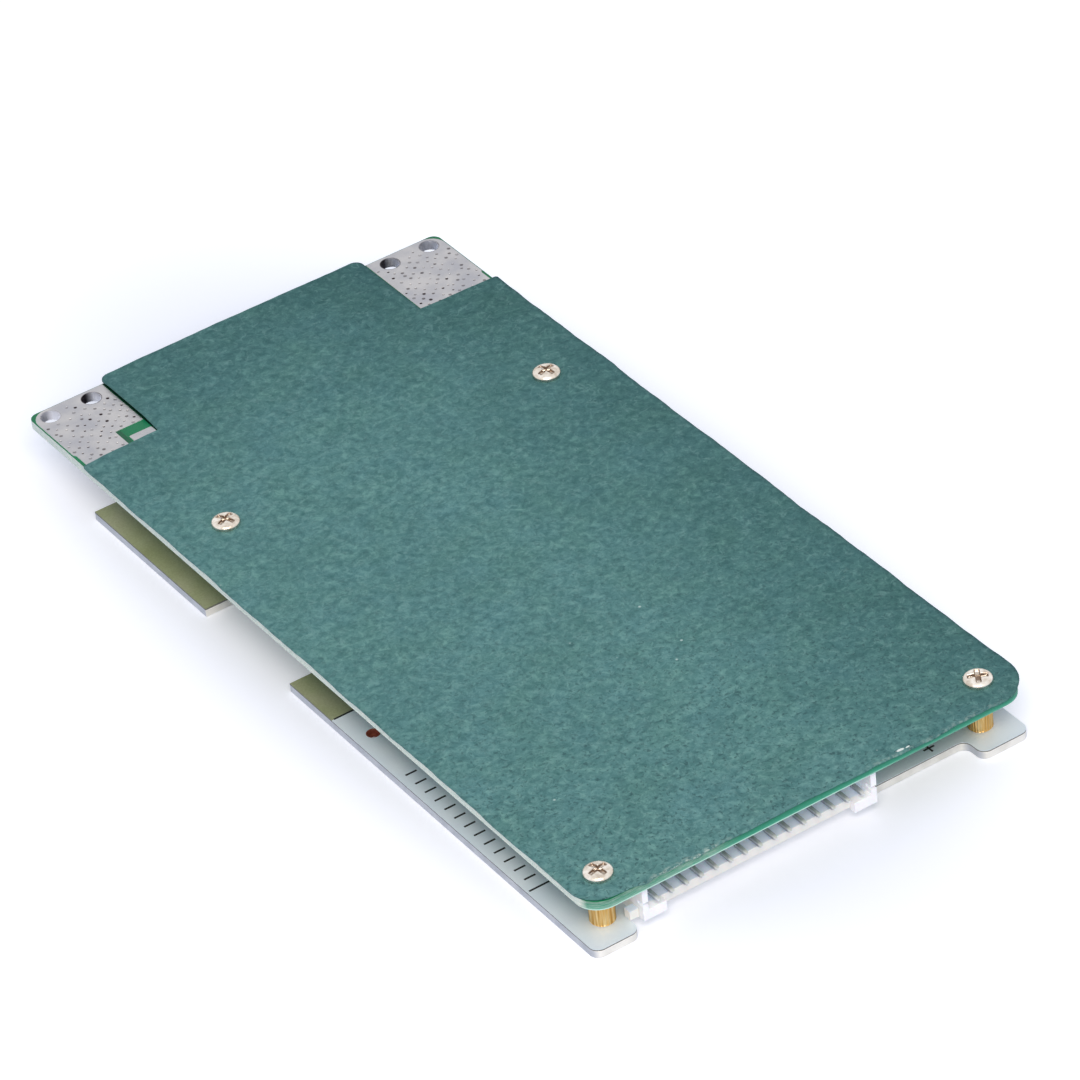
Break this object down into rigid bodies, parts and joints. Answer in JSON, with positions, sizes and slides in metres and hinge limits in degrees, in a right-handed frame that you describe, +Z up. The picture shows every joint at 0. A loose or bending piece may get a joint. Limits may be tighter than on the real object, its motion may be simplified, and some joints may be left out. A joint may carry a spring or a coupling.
{
  "type": "battery management board",
  "caption": "Two-board battery management module: paper-faced control board on brass standoffs over an aluminium power board, with a side-entry cell header and two-hole corner terminals.",
  "frame": {"origin": "centre of the module's outline, at the underside of the aluminium-core board on which it rests", "axes": "+X to the right seen from the header edge, +Y from the header edge to the terminal edge, +Z up towards the insulation paper"},
  "size_m": [0.0605, 0.1228, 0.0086],
  "materials": {
    "fish_paper": "matt calendered fish paper, teal green with long darker and lighter fibres",
    "green_laminate": "green solder mask over glass-epoxy laminate, pale cut edges",
    "tinned_copper": "hot-air-levelled tin over copper, dull silver with small via dots",
    "aluminium_core": "rolled aluminium, matt, with sheared edges",
    "olive_dielectric": "bare olive-green filled epoxy dielectric, fine grain",
    "pale_mask": "pale blue-grey solder mask, satin",
    "black_ink": "black screen-printed ink",
    "brass": "bright turned brass with fine vertical flutes",
    "nickel_plate": "nickel-plated steel, warm silver",
    "white_nylon": "natural white nylon, slightly translucent",
    "tinned_pin": "tin-plated brass pin",
    "black_epoxy": "black moulding compound with tinned leads",
    "resistor_coat": "black glazed film resistor with tinned end caps",
    "capacitor_ceramic": "tan ceramic chip with tinned end caps",
    "black_nylon": "black glass-filled nylon",
    "gold_plate": "gold-flashed brass pins"
  },
  "bodies": {
    "root": {"insulation_paper": "fish_paper", "control_board": "green_laminate", "left_terminal": "tinned_copper", "right_terminal": "tinned_copper", "sense_pad": "tinned_copper", "heat_spreader": "aluminium_core", "dielectric_layer": "olive_dielectric", "plate_mask": "pale_mask", "plate_legend": "black_ink", "standoffs": "brass", "board_screws": "nickel_plate", "header_housing": "white_nylon", "header_pins": "tinned_pin", "monitor_chip": "black_epoxy", "controller_chip": "black_epoxy", "regulator": "black_epoxy", "balance_resistors": "resistor_coat", "balance_transistors": "black_epoxy", "filter_capacitors": "capacitor_ceramic", "left_surge_diode": "black_epoxy", "right_surge_diode": "black_epoxy", "shunt_1": "resistor_coat", "shunt_2": "resistor_coat", "shunt_3": "resistor_coat", "shunt_4": "resistor_coat", "mosfet_1": "black_epoxy", "mosfet_2": "black_epoxy", "mosfet_3": "black_epoxy", "mosfet_4": "black_epoxy", "mosfet_5": "black_epoxy", "mosfet_6": "black_epoxy", "mosfet_7": "black_epoxy", "mosfet_8": "black_epoxy", "mosfet_9": "black_epoxy", "mosfet_10": "black_epoxy", "mosfet_11": "black_epoxy", "mosfet_12": "black_epoxy", "gate_resistors": "resistor_coat", "thermistor": "resistor_coat", "link_plug": "black_nylon", "link_pins": "gold_plate", "link_socket": "black_nylon", "left_power_link": "tinned_copper", "right_power_link": "tinned_copper"}
  },
  "joints": []
}
